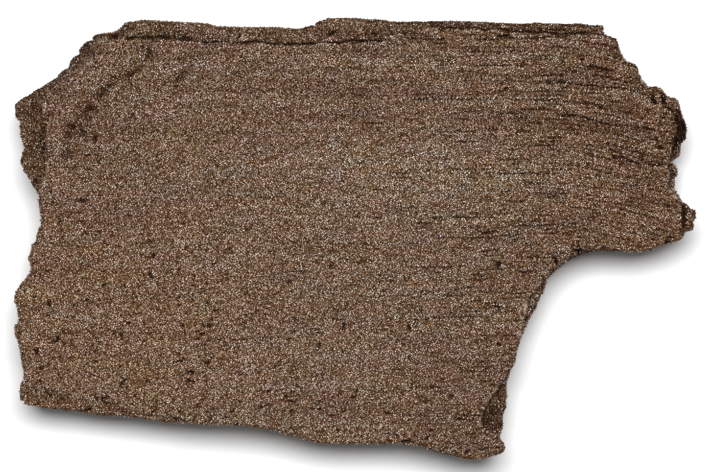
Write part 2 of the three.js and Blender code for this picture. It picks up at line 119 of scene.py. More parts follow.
# The rim of the face beside its ledges. Elsewhere it runs outside the outline.
face_rim = np.array([
    (-79.4, 10.4), (-78.5, 12), (-77.8, 14), (-77, 16.6), (-76.8, 19.6), (-77, 23.3), (-77, 27.6),
    (-77.7, 30.8), (-77.8, 34), (-76, 36), (-74, 37.7), (-71.6, 39.4), (-69.4, 41.3), (-67.4, 43.2),
    (-65.8, 45.4), (-64.8, 47.6), (-63.4, 49), (-61, 49.9), (-57.5, 49.8), (-48.8, 49.7),
    (-38.8, 49.2), (-27.5, 49.2), (-13.8, 48.8), (-5, 48.9), (1.2, 49.5), (7.8, 49.2), (9.2, 50.6),
    (11.2, 51.2), (16.2, 51.8), (25, 52.5), (33.8, 52.2), (38.8, 51.8), (43.8, 51.4), (51.2, 50.9),
    (56.2, 50.9), (62, 51.1), (90, 50), (90, 34), (79.4, 32.4), (80.3, 30.6), (80.6, 27.6),
    (80.3, 24.6), (79.8, 22), (78.7, 20.4), (78.6, 15.6), (78.9, 12.6), (80.4, 11), (81.7, 9.3),
    (82.5, 6.6), (82.5, 4.1), (82.8, 2.2), (84, -2), (56, -8), (51.6, -5.2), (49.6, -8), (47.8, -9.9),
    (45.8, -12.4), (44.5, -13.9), (43.6, -15.9), (42.6, -18.4), (41.8, -20.9), (41.2, -22.9),
    (42, -26), (60, -30), (37, -35.4), (35.8, -36.9), (33.8, -39.9), (32.5, -42.4), (31.5, -45.4),
    (31.5, -47.9), (33.2, -48.7), (35.5, -49.4), (50, -50), (50, -61), (-40, -61), (-41.2, -45.4),
    (-47.5, -44.6), (-51.2, -44), (-55, -43.3), (-57.5, -42.4), (-61.2, -41.4), (-65, -40.6),
    (-68.8, -40), (-70.8, -38.7), (-73.8, -37.9), (-77.5, -37.4), (-81.2, -36.6), (-91, -36), (-91, 8),
], float)

# The ledges at a few spots: x, y, the height beside the rim, how much a millimetre outward lowers it, and
# its bareness of druse and painted shade there. Between the spots they blend.
ledge_spots = [
    (-82, 20, 24.6, 0.3, 0.3), (-82, 30, 24.4, 0.3, 0.3), (-76, 38.6, 24.4, 2.4, 0.25),
    (-70, 43.6, 24, 2.2, 0.3), (-66, 48, 24, 2.2, 0.4), (-61, 51, 24, 1.2, 0.3),
    (-52, 52, 24.8, -0.5, 0.15), (-38, 51, 25.4, -0.3, 0.1), (-20, 51, 25.8, -0.1, 0.1),
    (-2, 52, 25.8, 0.1, 0.1), (8, 52.5, 25.4, 0.3, 0.2), (24, 53.5, 25.2, 0.9, 0.3),
    (44, 53, 25, 0.6, 0.2), (60, 52.5, 25, 0.4, 0.2), (83, 27, 22.8, 0.3, 0.8),
    (80.8, 22, 21, 1, 0.35), (80, 17, 18, 0.6, 0.35), (80, 12.5, 18, 2, 0.35),
    (84, 5, 24.6, 0.8, 0.05), (48.6, -10.6, 24, 1.4, 0.2), (43.5, -19, 24, 1.4, 0.15),
    (36.4, -39, 22.6, 0, 0.3), (34.4, -44, 22.4, 0.2, 0.35), (34, -52, 24, 0.6, 0.2),
    (-82, -39.5, 25.2, 0.6, 0.1), (-72, -41, 25.4, 0.7, 0.1), (-60, -43, 25.6, 0.8, 0.1),
    (-48, -45, 25.4, 1, 0.1),
]

# Cracks: width at the surface, depth, and the run.
cracks = [
    (1.8, 1.5, [(-58.4, 50.5), (-53, 50.4), (-46, 50.1), (-39, 49.8)]),
    (1.6, 1.6, [(-61.2, 50.8), (-59.2, 50.2)]),
    (0.8, 2.1, [(-40, 49.4), (-38, 49.2), (-31.8, 49.1), (-27.5, 49.2), (-21.2, 48.9)]),
    (0.8, 2.6, [(-23, 49), (-17.5, 48.9), (-13.8, 48.8), (-8.8, 48.7), (-5, 48.9), (-1.2, 49.3),
                (1, 49.5)]),
    (1, 2.8, [(-0.6, 49.3), (2, 49.5), (4.4, 49.3), (7.6, 49.1)]),
    (0.6, 1.4, [(7.4, 49.2), (10.4, 49.4), (13, 49.3)]),
    (0.8, 1.8, [(-29.6, 49.4), (-28.2, 51.6)]),
    (1.5, 2.4, [(-7.2, 50.7), (-5, 51.6)]),
    (0.7, 2.2, [(3, 51.3), (6.2, 51), (8, 50.8), (10.8, 51.3)]),
    (2.6, 0.7, [(11, 50.6), (15.8, 50), (19.6, 50.4)]),
    (0.7, 1.9, [(20, 52.1), (24, 52.5), (29, 52.4), (34, 52.2), (39, 51.8)]),
    (0.8, 1.8, [(36, 51.9), (42.5, 51.7), (47.5, 51.3), (51.2, 51), (56, 51), (62.4, 51.1)]),
    (0.9, 1.6, [(41.5, 51.7), (46, 51.4), (52.5, 51)]),
    (1.2, 2.2, [(34.8, 50.2), (36.5, 50.4), (39.2, 50.7)]),
    (0.6, 1.8, [(37, 50.2), (41.2, 49.9), (46.2, 50), (51.2, 50.2), (55, 50.7)]),
    (0.5, 1, [(52.4, 48.9), (53.4, 50)]),
    (0.5, 0.9, [(21, 44.2), (27, 43.6), (31, 43)]),
    (0.6, 1, [(9.6, 44.3), (13, 43.7), (20, 43.8)]),
    (0.4, 0.7, [(36, 43.2), (42, 42.9), (47.6, 42.4)]),
    (0.4, 0.9, [(30.2, 39), (36.2, 39.2), (41.4, 39)]),
    (0.7, 1.8, [(44, 39.2), (48, 39), (53, 38.6), (58, 38.1), (62, 37.9)]),
    (0.7, 1.8, [(61, 37.9), (65.8, 37.6), (67, 37.1), (69, 37.2)]),
    (0.5, 1.2, [(68, 37.4), (71.6, 37.4), (73.8, 37)]),
    (0.6, 1.8, [(55.7, 45.6), (56.6, 44.4), (57.4, 42.7)]),
    (0.9, 1.8, [(57.2, 42.7), (60.4, 42.9), (62.4, 42.4), (64.6, 41.6)]),
    (0.8, 1.2, [(61.8, 40.9), (63.4, 40.1)]),
    (0.5, 1, [(48.6, 36.7), (51.8, 36.3)]),
    (0.7, 1.9, [(51.7, 30), (52.6, 30.9), (55, 30.8), (58.6, 29.9), (61.4, 29.4)]),
    (0.7, 1.7, [(59.6, 29.7), (64.4, 28.4), (68.8, 27.8), (71.4, 27.4), (76, 26.8)]),
    (0.6, 1.1, [(45, 35.2), (50, 34.4), (55, 34), (60, 33.2)]),
    (0.7, 1.2, [(56, 34.6), (61, 33.2), (64, 32)]),
    (0.6, 1.3, [(65.7, 32.1), (68.4, 31.5), (70.6, 30.5)]),
    (0.4, 0.8, [(38.6, 28.8), (41.6, 28.5)]),
    (0.6, 1, [(42, 26.9), (43.4, 26.7)]),
    (0.5, 1.2, [(63.6, 23.5), (66.4, 22.6), (69.4, 22.5), (71.4, 23.8), (73, 25.1), (75, 25.2)]),
    (1.9, 2.2, [(75.8, 23.2), (77, 22.6)]),
    (0.8, 1.6, [(75.2, 25.6), (75.8, 24)]),
    (0.9, 2, [(64.5, 21.8), (64.6, 20.4), (67, 20), (70, 19), (73, 18.6), (77.6, 18.6)]),
    (0.6, 1, [(45, 13.2), (47.6, 12.8)]),
    (1.1, 1.7, [(67.5, 13.3), (68, 12.6)]),
    (0.7, 1.2, [(69.8, 13.4), (71, 13.2)]),
    (0.9, 1.4, [(74.8, 12.6), (76.8, 12)]),
    (0.5, 0.9, [(51.2, 7.6), (54, 6.6), (58, 6)]),
    (0.6, 1, [(41.2, 8.9), (42.8, 9.4)]),
    (0.6, 1.5, [(30.9, 4), (30.4, 2), (32.4, 1.4), (35, 1.6), (35.6, 0.4)]),
    (0.4, 0.9, [(40, 2.2), (41.4, 1.4), (45, 2)]),
    (1.7, 3.4, [(74.3, 36.7), (74.8, 34.8), (75.8, 33.8)]),
    (1.2, 3, [(76.9, 36.1), (77.5, 34.8), (77.6, 33.8)]),
    (1.1, 1.8, [(77, 33.6), (79.2, 32.6), (80.3, 30.6), (80.8, 27.6)]),
    (2, 1.6, [(80.4, 28), (80.5, 25.6), (80.2, 22.6), (79.6, 21)]),
    (1.3, 3.2, [(82, 9), (82.5, 6.6), (82.4, 4), (82.7, 1.6)]),
    (1.2, 4, [(54.2, -3.1), (57.8, -3.2)]),
    (1.4, 2.6, [(49.4, -4.2), (50.4, -6.4)]),
    (1.2, 2.2, [(47.5, -9.6), (46.8, -13.2)]),
    (1, 2, [(44.3, -13.6), (43.3, -16.4)]),
    (0.8, 1.8, [(39.6, -17.8), (40.2, -20)]),
    (1, 2, [(43.1, -18.8), (42.3, -21)]),
    (1.2, 1.6, [(34.7, -42.6), (34.4, -44.4)]),
    (1, 1.8, [(32.3, -46), (31.9, -47.8)]),
    (1.3, 0.8, [(-78.6, -38.4), (-76, -38.4), (-74.2, -38.9)]),
    (1.4, 0.7, [(-82, -37.6), (-80.6, -38.6)]),
    (1.1, 1.2, [(-72.4, -38.4), (-71.5, -39.1)]),
    (0.6, 1, [(-70, -40), (-66, -40.2)]),
    (0.9, 1, [(-64, -40.8), (-59, -41.6)]),
    (1, 2.2, [(-47.5, -44.9), (-45, -45), (-42, -45.4)]),
    (0.5, 1, [(-55, -43.9), (-50, -44.2), (-47, -44.9)]),
    (0.6, 1.4, [(6.2, -43), (9, -43.8), (12, -44.5), (14.5, -44.7)]),
    (0.5, 1.1, [(16.5, -44.7), (21.5, -45.2)]),
    (0.5, 1.1, [(24.5, -46.6), (28.8, -47), (31.2, -47.2)]),
    (0.6, 1.2, [(5, -49), (8, -48.9), (10.6, -49.3)]),
    (1.2, 2.2, [(11, -50.6), (15.4, -51)]),
    (0.6, 1, [(-44.9, -32.4), (-43.6, -36)]),
    (1, 1.3, [(-54.8, 34.2), (-55.5, 31.2), (-56, 29.6)]),
    (0.7, 0.9, [(-49.8, 46.6), (-49, 44.2)]),
]
# Small pits: x and y.
pits = [
    (-76.8, -8.2), (-73.8, 4.3), (-64.2, 1.6), (-62.8, -11.7), (-50.5, -4.2), (-43, -21.9),
    (-41.2, -33.4), (-37, -16.2), (-39.2, -42), (-23.4, -42.2), (-16, -43.2), (-8.8, -42.8),
    (-0.6, -39.8), (0.4, -38.2), (-17.2, -39.4), (19.2, -48), (18, -50), (22.8, -52.4), (27.8, -53.4),
    (5.5, 5.2), (37.8, 37.4), (-66.8, 20.8), (-64.2, 19), (-30.6, -43.2),
]

# The slanting folds at the upper left: width, depth, and the run from the top down to the foot.
creases = [
    (2.4, 1, [(-51, 48.4), (-51.8, 45.8), (-53.2, 43.3), (-55.8, 41.3), (-58.2, 40.3)]),
    (2.4, 1, [(-57.6, 40.5), (-60.5, 39.6), (-62.2, 38.3), (-63.8, 36.3), (-64.5, 34.3)]),
    (6.1, 1.2, [(-64.8, 33.8), (-66, 32.4), (-68.6, 30.8)]),
    (2.6, 1, [(-69, 30), (-70, 28.4), (-71.3, 26.1), (-72.3, 24.1)]),
    (2.4, 1, [(-68.8, 28.1), (-67.5, 26)]),
    (2.1, 0.9, [(-65, 25.9), (-65.2, 24)]),
    (3.4, 1, [(-71.4, 22.4), (-73, 19.6)]),
    (2.2, 0.8, [(-52.3, 48.8), (-53.6, 47.1), (-52, 45)]),
    (2.2, 0.7, [(-41.8, 42.6), (-42.8, 41.3), (-44.3, 39.3), (-45.8, 38.6)]),
    (1.9, 0.6, [(-45.6, 38.6), (-48.8, 38.4), (-51.6, 37.4)]),
]


def smooth(value, low, high):
    """0 below low and 1 above high, with an S-shaped rise between them."""
    share = np.clip((value - low) / (high - low), 0, 1)
    return share * share * (3 - 2 * share)


def corner(i, j, seed):
    """A repeatable value from -1 to 1 for each corner (i, j) of a lattice: the fraction of a
    large sine, stretched."""
    stretched = np.sin(i * 127.1 + j * 311.7 + seed * 74.7) * 43758.5453
    return (stretched - np.floor(stretched)) * 2 - 1


def noise(x, y, seed):
    """Smooth noise from -1 to 1: the values at the four corners of the unit cell that holds
    (x, y), eased from one to the next."""
    i, j = np.floor(x), np.floor(y)
    u, v = smooth(x - i, 0, 1), smooth(y - j, 0, 1)
    low = corner(i, j, seed) * (1 - u) + corner(i + 1, j, seed) * u
    high = corner(i, j + 1, seed) * (1 - u) + corner(i + 1, j + 1, seed) * u
    return low * (1 - v) + high * v


def waves(x, y, layers):
    """Layers of noise, one on the other: each has its height, its reach along x and along y, and
    its seed."""
    return sum(high * noise(x / reach_x, y / reach_y, seed) for high, reach_x, reach_y, seed in layers)


def beside(x, y, path, closed=True):
    """How far each point is from a path of straight stretches, how far along the path the
    nearest spot is, and whether the point is inside it, by counting the stretches to its right."""
    starts, ends = (path, np.roll(path, -1, 0)) if closed else (path[:-1], path[1:])
    far = np.full(np.shape(x), np.inf)
    along = np.zeros(np.shape(x))
    inside = np.zeros(np.shape(x), bool)
    run = 0.0
    for (ax, ay), (bx, by) in zip(starts, ends):
        length = math.hypot(bx - ax, by - ay)
        step = np.clip(((x - ax) * (bx - ax) + (y - ay) * (by - ay)) / length, 0, length)
        gap = np.hypot(x - ax - step * (bx - ax) / length, y - ay - step * (by - ay) / length)
        along = np.where(gap < far, run + step, along)
        far = np.minimum(far, gap)
        if ay != by:
            crosses = ((ay > y) != (by > y)) & (x < (bx - ax) * (y - ay) / (by - ay) + ax)
            inside ^= crosses
        run += length
    return far, along, inside


ragged_edge = [(0.2, 2.6, 2.2, 21), (0.16, 1.1, 0.9, 22)]
edge_growth = 0.05


def depth_inside(x, y):
    """How far inside the ragged outline a point is, and how far along it: the distance to the
    straight-sided outline, with two sizes of noise."""
    far, along, inside = beside(x, y, outline)
    return np.where(inside, far, -far) + waves(x, y, ragged_edge) + edge_growth, along


bend_from, bend_to, bend_shift = 48, 92, 7  # the grain turns down at the right end, by so much
face_level, end_fall = 26.5, 2.4
swells = [(0.9, 44, 26, 1)]
grain_ridges = [(0.4, 38, 3.6, 2)]
grain_lines = [(0.16, 16, 1.25, 24), (0.1, 7, 0.7, 25)]
lumps = [(0.16, 1.7, 1.3, 26)]
terrace_edges, terrace_fall, terrace_width = (68.6, 73, 77), 0.8, 1.6


def face_height(x, y):
    """The druse face: long swells, ridges and fine lines along the grain, a fall toward the right
    end where the grain bends down with it, and slanting terraces at the upper left."""
    bend = smooth(x, bend_from, bend_to)
    bent = y + bend_shift * bend
    height = face_level + waves(x, y, swells) + waves(x, bent, grain_ridges)
    height += waves(x, bent + waves(x, y, [(0.8, 17, 30, 23)]), grain_lines)
    height += waves(x, y, lumps)
    slant = (y - x) * math.sqrt(0.5) + waves(x, y, [(0.8, 5, 5, 27)])
    for edge in terrace_edges:
        height -= terrace_fall * smooth(slant, edge, edge + terrace_width)
    return height - end_fall * bend


splinters = [(0.5, 5, 2.2, 3), (0.35, 2.4, 0.9, 28)]
ledge_fall_width = 3.4


def ledge_height(x, y, far):
    """The ledges: the spots' heights and falls, each counted the more the nearer it is, with splinters. A
    ledge falls for its first few millimetres from the rim, and is barest and most darkened with painted
    shade there."""
    height, bare_and_shade = np.zeros(np.shape(x)), np.zeros(np.shape(x))
    weights = np.zeros(np.shape(x))
    for spot_x, spot_y, beside_rim, fall, bare_and_shade_there in ledge_spots:
        weight = 1 / (1 + (x - spot_x) ** 2 + (y - spot_y) ** 2) ** 2
        height += weight * (beside_rim - fall * np.minimum(far, ledge_fall_width))
        bare_and_shade += weight * bare_and_shade_there
        weights += weight
    overgrown_and_out_of_shade = 0.7 * smooth(far, 1.2, 6)
    bare_and_shade = bare_and_shade / weights * (1 - overgrown_and_out_of_shade + waves(x, y, [(0.5, 1.6, 1.6, 45)]))
    return height / weights + waves(x, y, splinters), bare_and_shade


longest_fade, fade_share, end_reach = 2, 0.35, 0.4


def crack_depth(x, y, runs):
    """How deep cracks or creases cut at a point: a V across each run, which wanders a little, is
    uneven along its length and dies away at both ends."""
    depth = np.zeros(np.shape(x))
    wander_x = x + waves(x, y, [(0.3, 9, 2.7, 30)])
    wander_y = y + waves(x, y, [(0.35, 2.7, 9, 29)])
    uneven = 1 + waves(x, y, [(0.5, 3, 3, 31)])
    ragged = 1 + waves(x, y, [(0.45, 1.1, 0.8, 46)])
    for wide, deep, run in runs:
        path = np.array(run, float)
        length = np.hypot(*np.diff(path, axis=0).T).sum()
        far, along, _ = beside(wander_x, wander_y, path, closed=False)
        fade = min(longest_fade, fade_share * length)
        ends = smooth(along, -end_reach, fade) * smooth(length - along, -end_reach, fade)
        sides = np.clip(1 - far / (0.5 * wide * ragged), 0, 1)
        depth = np.maximum(depth, deep * ends * uneven * sides)
    return depth


fibre_band, groove_share, groove_deep = 1.15, 0.22, 0.55


def grain_grooves(x, y):
    """Fine grooves along the grain, one to each fibre band. The bands wander, and each groove
    comes and goes along its band. They are most frequent toward the right end, the top and the
    bottom."""
    bent = y + bend_shift * smooth(x, bend_from, bend_to)
    across = bent + waves(x, y, [(1.1, 24, 9, 41), (0.25, 5, 2, 42)])
    band = np.floor(across / fibre_band)
    from_middle = np.abs(across / fibre_band - band - 0.5)
    valley = np.clip(1 - from_middle / groove_share, 0, 1)
    to_right, to_top, to_bottom = smooth(x, -20, 60), smooth(y, 20, 50), smooth(-y, 30, 46)
    many = 1.1 * to_right + 0.22 * to_top + 0.12 * to_bottom - 0.25
    patches = noise(x / 5.5, band * 3.7, 43) + 0.6 * noise(x / 1.6, band * 5.3, 44)
    return groove_deep * valley * smooth(patches + many, 0.3, 1.3)


pit_deep, pit_core, pit_reach, pit_stretch = 1.3, 0.1, 0.75, 1.3
scattered_pit_deep, dot_deep = 0.9, 0.6


def pit_depth(x, y):
    """How deep the pits cut at a point: the listed ones, and scattered ones where a noise is
    high, which are deeper in the lower half."""
    lower_half = 0.35 + 0.65 * smooth(-y, -20, 10)
    depth = scattered_pit_deep * lower_half * smooth(noise(x / 1.5, y / 1.2, 33), 0.76, 0.97)
    for pit_x, pit_y in pits:
        far = np.hypot(x - pit_x, pit_stretch * (y - pit_y))
        depth = np.maximum(depth, pit_deep * (1 - smooth(far, pit_core, pit_reach)))
    return depth


def dot_depth(x, y):
    """How deep the gaps of a single point's size cut, which are all at the lower left."""
    lower_left = smooth(-x, -15, 40) * smooth(-y, -15, 10)
    return dot_deep * lower_left * smooth(noise(x / 0.8, y / 0.7, 47), 0.7, 0.9)


rim_width = 0.45
crack_share = 0.75  # of its depth is cut: the druse that stands beside a crack adds the rest
# How much each cut lacks druse and is darkened with painted shade, and the crack depth at which that is
# full.
bare_and_shade_in_crack, deep_crack = 0.85, 1.9
bare_and_shade_in_fold, bare_and_shade_in_groove, bare_and_shade_in_pit, bare_and_shade_in_dot = 0.5, 1.2, 0.75, 1.4


def top_height(x, y):
    """The upper side: the face inside its rim, the ledges outside it, cut by cracks, creases, grooves and
    small pits. Also how much of the druse is missing there, with painted shade in the cuts and beside the
    rims, from 0 to 1."""
    far, _, inside = beside(x, y, face_rim)
    rim = np.where(inside, far, -far) + waves(x, y, [(0.4, 3, 2, 32)])
    on_face = smooth(rim, -rim_width, rim_width)
    ledge, ledge_bare_and_shade = ledge_height(x, y, far)
    height = on_face * face_height(x, y) + (1 - on_face) * ledge
    crack = crack_depth(x, y, cracks)
    crease = crack_depth(x, y, creases)
    groove = grain_grooves(x, y)
    pitted = pit_depth(x, y)
    dots = dot_depth(x, y)
    bare_and_shade = bare_and_shade_in_crack * smooth(crack, 0, deep_crack)
    bare_and_shade = np.maximum(bare_and_shade, bare_and_shade_in_fold * np.minimum(crease, 0.9))
    bare_and_shade = np.maximum(bare_and_shade, bare_and_shade_in_groove * groove + bare_and_shade_in_pit * pitted + bare_and_shade_in_dot * dots)
    bare_and_shade = np.maximum(bare_and_shade, (1 - on_face) * ledge_bare_and_shade)
    cut = np.maximum(crack_share * crack, np.maximum(pitted, dots)) + groove + crease
    return height - cut, np.clip(bare_and_shade, 0, 1)


underside_relief = [(1.3, 26, 11, 4), (0.9, 19, 4.4, 12), (0.35, 6, 1.4, 34)]
rest_level, margin_rise, patch_fall = 0.35, 2.2, 2.5


def underside_height(x, y):
    """The underside: hollows and ridges along the grain, which rise toward the margin and are cut
    off flat where the slab rests, most of all on a patch at its middle."""
    margin = smooth(np.hypot(x / 92, y / 62), 0.7, 1.02)
    patch = 1 - smooth(np.hypot(x, y), 12, 30)
    relief = waves(x, y, underside_relief) + margin_rise * margin - patch_fall * patch
    return rest_level + np.maximum(0, relief)


# The middle lines of the two lobes, and the split layers of the walls from the bottom up.
lobes = [((-60, 0), (45, 25)), ((-60, 0), (25, -35))]
layer_tops = [5, 9.5, 14.5, 20]
layer_inset = [3.6, 2, 1.1, 0.5, 0.1]


def inward(x, y):
    """The way from the outline to the middle lines of the slab's two lobes, as unit vectors: the
    nearer line counts the more."""
    pull = np.zeros((2,) + np.shape(x))
    for (ax, ay), (bx, by) in lobes:
        share = ((x - ax) * (bx - ax) + (y - ay) * (by - ay)) / ((bx - ax) ** 2 + (by - ay) ** 2)
        share = np.clip(share, 0, 1)
        to_x, to_y = ax + share * (bx - ax) - x, ay + share * (by - ay) - y
        pull += np.array([to_x, to_y]) / (to_x ** 2 + to_y ** 2) ** 2
    return pull / np.hypot(*pull)


# The outline at even steps, and the same line softened over a stretch to either side. The walls
# cut across the grain where the soft line runs across it: there end_grain is 1.
side_lengths = np.hypot(*(np.roll(outline, -1, 0) - outline).T)
corners_along = np.append(0, np.cumsum(side_lengths))
perimeter = side_lengths.sum()
around = np.linspace(0, perimeter, 1200, endpoint=False)
closed_outline = np.append(outline, outline[:1], 0)
edge_line = np.array([np.interp(around, corners_along, closed_outline[:, k]) for k in (0, 1)])
stretch = 25
window = np.ones(2 * stretch + 1) / (2 * stretch + 1)
soft_line = np.array([
    np.convolve(np.concatenate([line[-stretch:], line, line[:stretch]]), window, "valid")
    for line in edge_line
])
nearby = 8
soft_run = np.roll(soft_line, -nearby, 1) - np.roll(soft_line, nearby, 1)
end_grain = smooth(np.abs(soft_run[1]) / np.hypot(*soft_run), 0.3, 0.8)

softened = 0.85  # how much the foot of the walls follows the softened line
layer_swing = 1.6
wall_splinters = [(0.6, 9, 1.3, 35), (0.35, 4, 0.7, 36)]
wall_stubs = [(0.8, 2.2, 2.6, 38), (0.45, 1, 1.2, 39)]
most_outward = -0.3


def wall_lean(along, z):
    """How far the wall stands from the outline, as a move in x and y, at a place along it and a
    height: each split layer has its own inset, and the low ones follow a softened outline."""
    at = np.array([np.interp(along, around, line, period=perimeter) for line in edge_line])
    soft = np.array([np.interp(along, around, line, period=perimeter) for line in soft_line])
    inset = np.full(np.shape(z), layer_inset[0]) + layer_swing * noise(along / 12, 0 * z, 7)
    follow = np.full(np.shape(z), softened)
    for layer, top in enumerate(layer_tops, 1):
        edge = top + 2 * noise(along / 14, np.full(np.shape(z), 5.0 * (layer - 1)), 9)
        above = smooth(z, edge - 0.1, edge + 0.6)
        swing = layer_swing * noise(along / 12, np.full(np.shape(z), 3.0 * layer), 7)
        inset = inset * (1 - above) + (layer_inset[layer] + swing) * above
        follow = follow * (1 - above) + softened * (1 - layer / len(layer_tops)) * above
    across = np.interp(along, around, end_grain, period=perimeter)
    rough = waves(along, z, wall_splinters) * (1 - across) + waves(along, z, wall_stubs) * across
    return follow * (soft - at) + np.maximum(most_outward, inset + rough) * inward(*at)


# A grid of corners over the slab's whole plan.
cell_x, cell_y = 0.9, 0.5
columns, rows = int(174 / cell_x), int(114 / cell_y)
grid_x, grid_y = np.meshgrid(
    (np.arange(columns) - (columns - 1) / 2) * cell_x, (np.arange(rows) - (rows - 1) / 2) * cell_y
)
grid_depth, _ = depth_inside(grid_x, grid_y)

# Corners of the grid that lie close to the outline are moved onto it, by the slope of the depth.
slope_y, slope_x = np.gradient(grid_depth, cell_y, cell_x)
steepness = np.maximum(slope_x ** 2 + slope_y ** 2, 0.25)
reach = 0.5 * (cell_x * np.abs(slope_x) + cell_y * np.abs(slope_y)) / np.sqrt(steepness)
close = np.abs(grid_depth) < reach
slab_x = np.where(close, grid_x - grid_depth * slope_x / steepness, grid_x)
slab_y = np.where(close, grid_y - grid_depth * slope_y / steepness, grid_y)
kept_corner = close | (grid_depth > 0)

# The cells with all four corners kept, less those that hang on by one side or touch by a corner.
trimming_rounds = 4
kept = kept_corner[:-1, :-1] & kept_corner[1:, :-1] & kept_corner[:-1, 1:] & kept_corner[1:, 1:]
for _ in range(trimming_rounds):
    framed = np.pad(kept, 1)
    sides = framed[:-2, 1:-1].astype(int) + framed[2:, 1:-1] + framed[1:-1, :-2] + framed[1:-1, 2:]
    kept &= sides >= 2
    touch = framed[:-1, :-1] & framed[1:, 1:] & ~framed[1:, :-1] & ~framed[:-1, 1:]
    touch |= ~framed[:-1, :-1] & ~framed[1:, 1:] & framed[1:, :-1] & framed[:-1, 1:]
    kept &= ~(touch[:-1, :-1] | touch[1:, :-1] | touch[:-1, 1:] | touch[1:, 1:])

# The kept cells by the numbers of their corners, of which only the used ones are counted.
row, column = np.nonzero(kept)
cells = np.stack([
    row * columns + column, row * columns + column + 1,
    (row + 1) * columns + column + 1, (row + 1) * columns + column,
], 1)
used = np.unique(cells)
number = np.full(rows * columns, -1)
number[used] = np.arange(len(used))
cells = number[cells]
slab_x, slab_y = slab_x.ravel()[used], slab_y.ravel()[used]
slab_depth, slab_along = depth_inside(slab_x, slab_y)

# The edges that belong to one cell only are the rim, each running with the slab on its left.
edges = np.concatenate([cells[:, [k, (k + 1) % 4]] for k in range(4)])
codes = edges[:, 0] * len(used) + edges[:, 1]
rim_edges = edges[~np.isin(codes, edges[:, 1] * len(used) + edges[:, 0])]
rim = np.unique(rim_edges)

rounding_deep, rounding_reach = 0.9, 0.8


def edge_rounding(depth, along):
    """How much the top is rounded off: the most at the outline, and less and less inward."""
    uneven = 0.6 + 0.5 * noise(along / 6, 0 * along, 37)
    return rounding_deep * np.exp(-np.clip(depth, 0, 9) / rounding_reach) * uneven


# The top lies a little below the druse's own height, and the underside follows the lean of the
# walls' foot, the more the nearer a spot is to the outline.
sunk, foot_reach, foot_level = 0.12, 14, 1
top_z, top_bare_and_shade = top_height(slab_x, slab_y)
top_z -= edge_rounding(slab_depth, slab_along) + sunk
top = np.stack([slab_x, slab_y, top_z], 1)
lean_share = 1 - smooth(slab_depth, 0, foot_reach)
foot_lean = lean_share * wall_lean(slab_along, 0 * slab_x + foot_level)
low_x, low_y = np.array([slab_x, slab_y]) + foot_lean
low = np.stack([low_x, low_y, underside_height(low_x, low_y)], 1)

# The walls run down from the rim in rows. They take up their lean soon below the top, meet the
# underside's lean at the foot, and between the two keep nearer to the plain outline.
wall_rows, straightened = 32, 0.85
level = np.linspace(0, 1, wall_rows + 1)[1:-1, None]
rim_z = top_z[rim] * (1 - level) + low[rim, 2] * level
wall_along = np.broadcast_to(slab_along[rim], rim_z.shape)
start, end = smooth(level, 0, 0.08), smooth(level, 0.9, 1)
lean = wall_lean(wall_along, rim_z) * start
lean = lean * (1 - end) + foot_lean[:, None, rim] * end
plain = np.array([np.interp(slab_along[rim], around, line, period=perimeter) for line in edge_line])
ragged = np.array([slab_x[rim], slab_y[rim]])
settle = straightened * start * (1 - end)
trunk = ragged[:, None] * (1 - settle) + plain[:, None] * settle
wall = np.stack([trunk[0] + lean[0], trunk[1] + lean[1], rim_z], 2)

# The points in order: the top's, the underside's and the walls' rows.
count = len(used)
column_of = np.full(count, -1)
column_of[rim] = np.arange(len(rim))
first, second = column_of[rim_edges[:, 0]], column_of[rim_edges[:, 1]]
ring_a = [rim_edges[:, 0]] + [2 * count + k * len(rim) + first for k in range(wall_rows - 1)]
ring_b = [rim_edges[:, 1]] + [2 * count + k * len(rim) + second for k in range(wall_rows - 1)]
ring_a.append(count + rim_edges[:, 0])
ring_b.append(count + rim_edges[:, 1])
wall_quads = np.concatenate([
    np.stack([ring_a[k], ring_a[k + 1], ring_b[k + 1], ring_b[k]], 1) for k in range(wall_rows)
])
slab_points = np.concatenate([top, low, wall.reshape(-1, 3)])
top_quads = cells
low_quads = count + cells[:, ::-1]
quads = np.concatenate([top_quads, low_quads, wall_quads])

to_centre = np.array([-0.168, 0.082, 0])
box_low, box_high = (np.array(c) / millimetre - to_centre for c in cad_box)


def mesh_piece(name, points, faces, smooth_faces):
    """An object at the origin from points in millimetres and faces of equal size, as arrays. The
    points move to where the middle of the slab is the origin."""
    mesh = bpy.data.meshes.new(name)
    sides = faces.shape[1]
    mesh.vertices.add(len(points))
    mesh.vertices.foreach_set("co", ((points + to_centre) * millimetre).astype(np.float32).ravel())
    mesh.loops.add(faces.size)
    mesh.loops.foreach_set("vertex_index", faces.astype(np.int32).ravel())
    mesh.polygons.add(len(faces))
    mesh.polygons.foreach_set("loop_start", np.arange(0, faces.size, sides, dtype=np.int32))
    mesh.polygons.foreach_set("loop_total", np.full(len(faces), sides, np.int32))
    mesh.polygons.foreach_set("use_smooth", np.full(len(faces), smooth_faces))
    mesh.update(calc_edges=True)
    mesh.validate()
    piece = bpy.data.objects.new(name, mesh)
    bpy.context.scene.collection.objects.link(piece)
    return piece


# The druse needs room inside the solid's box beside the slab and over it.
room_beside, room_over = 0.25, 0.1
slab_points = np.clip(
    slab_points, box_low + [room_beside, room_beside, 0], box_high - [room_beside, room_beside, room_over]
)
slab = mesh_piece("slab", slab_points, quads, True)


